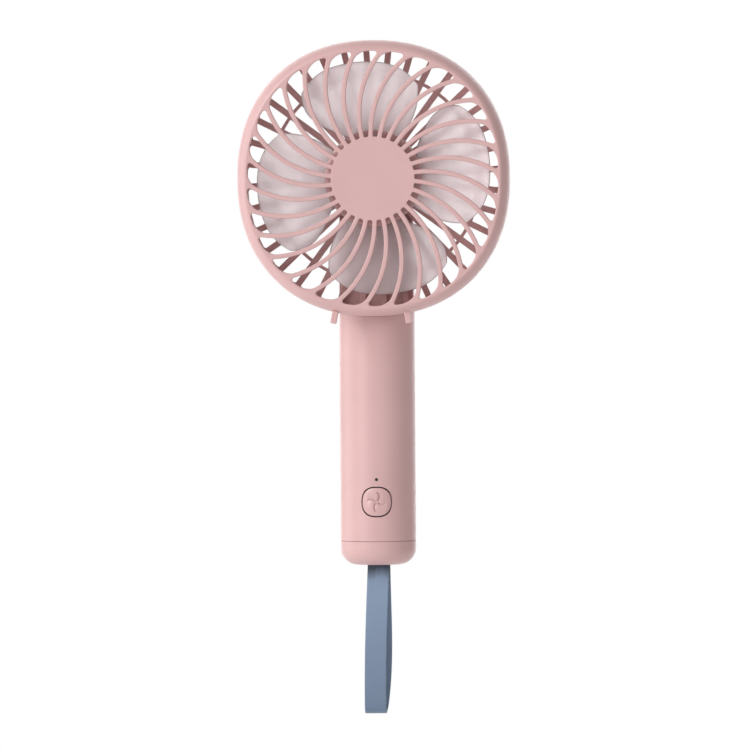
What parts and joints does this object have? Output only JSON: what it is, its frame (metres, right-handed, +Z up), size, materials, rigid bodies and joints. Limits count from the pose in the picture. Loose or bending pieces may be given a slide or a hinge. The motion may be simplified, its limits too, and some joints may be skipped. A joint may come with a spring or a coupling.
{
  "type": "handheld electric fan",
  "caption": "Handheld battery fan with a guarded rounded-square head, four translucent blades, a round grip with a push button, and a flat wrist strap.",
  "frame": {"origin": "on the grip's axis, halfway up the grip, 52 mm above the lowest face of the bottom cap", "axes": "+Z up along the grip, -Y the way the head blows, +X to the right as seen from the front"},
  "size_m": [0.1046, 0.0445, 0.2596],
  "materials": {
    "pink_plastic": "satin, very finely textured",
    "frosted_plastic": "frosted translucent",
    "smoked_plastic": "smoked, near black",
    "steel": "satin",
    "magnet": "matte black ferrite",
    "alloy": "turned",
    "copper_wire": "enamelled copper windings",
    "board_laminate": "solder mask",
    "wire_insulation": "satin",
    "black_plastic": "matte",
    "cell_wrap": "shrink wrap",
    "foam": "open foam",
    "white_plastic": "matte",
    "strap_silicone": "matte silicone"
  },
  "bodies": {
    "handle": {"rear_grille": "pink_plastic", "rear_rim": "pink_plastic", "motor_pod": "pink_plastic", "motor_bearings": "steel", "bearing_tube": "alloy", "stator_core": "steel", "stator_coils": "copper_wire", "motor_board": "board_laminate", "motor_base": "alloy", "motor_screws": "steel", "motor_leads": "wire_insulation", "head_screws": "steel", "spine_cover": "pink_plastic", "handle_shell": "pink_plastic", "tact_switch": "black_plastic", "main_board": "board_laminate", "indicator_led": "frosted_plastic", "light_pipe": "smoked_plastic", "battery_cell": "cell_wrap", "battery_tabs": "steel", "battery_foam": "foam", "battery_leads": "wire_insulation", "battery_carrier": "white_plastic", "charge_board": "board_laminate", "charge_port": "steel", "board_link": "wire_insulation", "bottom_cap": "pink_plastic", "strap_pin": "steel"},
    "impeller": {"hub_cap": "pink_plastic", "impeller": "frosted_plastic", "rotor_cup": "steel", "rotor_magnet": "magnet", "motor_shaft": "steel", "shaft_clip": "steel"},
    "front_guard": {"front_grille": "pink_plastic", "front_rim": "pink_plastic"},
    "power_button": {"power_button": "pink_plastic", "switch_plunger": "black_plastic"},
    "strap": {"strap": "strap_silicone"}
  },
  "joints": [
    {"name": "impeller_spin", "type": "hinge", "parent": "handle", "child": "impeller", "pos_m": [0, -0.018, 0.0971], "axis": [0, -1, 0], "continuous": true},
    {"name": "power_button_press", "type": "slide", "parent": "handle", "child": "power_button", "axis": [0, 1, 0], "range_m": [0, 0.0004], "stiffness_N_per_m": 1500, "springref_m": -0.0003},
    {"name": "front_guard_pull", "type": "slide", "parent": "handle", "child": "front_guard", "axis": [0, -1, 0], "range_m": [0, 0.04]},
    {"name": "strap_swing", "type": "hinge", "parent": "handle", "child": "strap", "pos_m": [0, 0, -0.0485], "axis": [1, 0, 0], "range_deg": [-25, 25]}
  ]
}
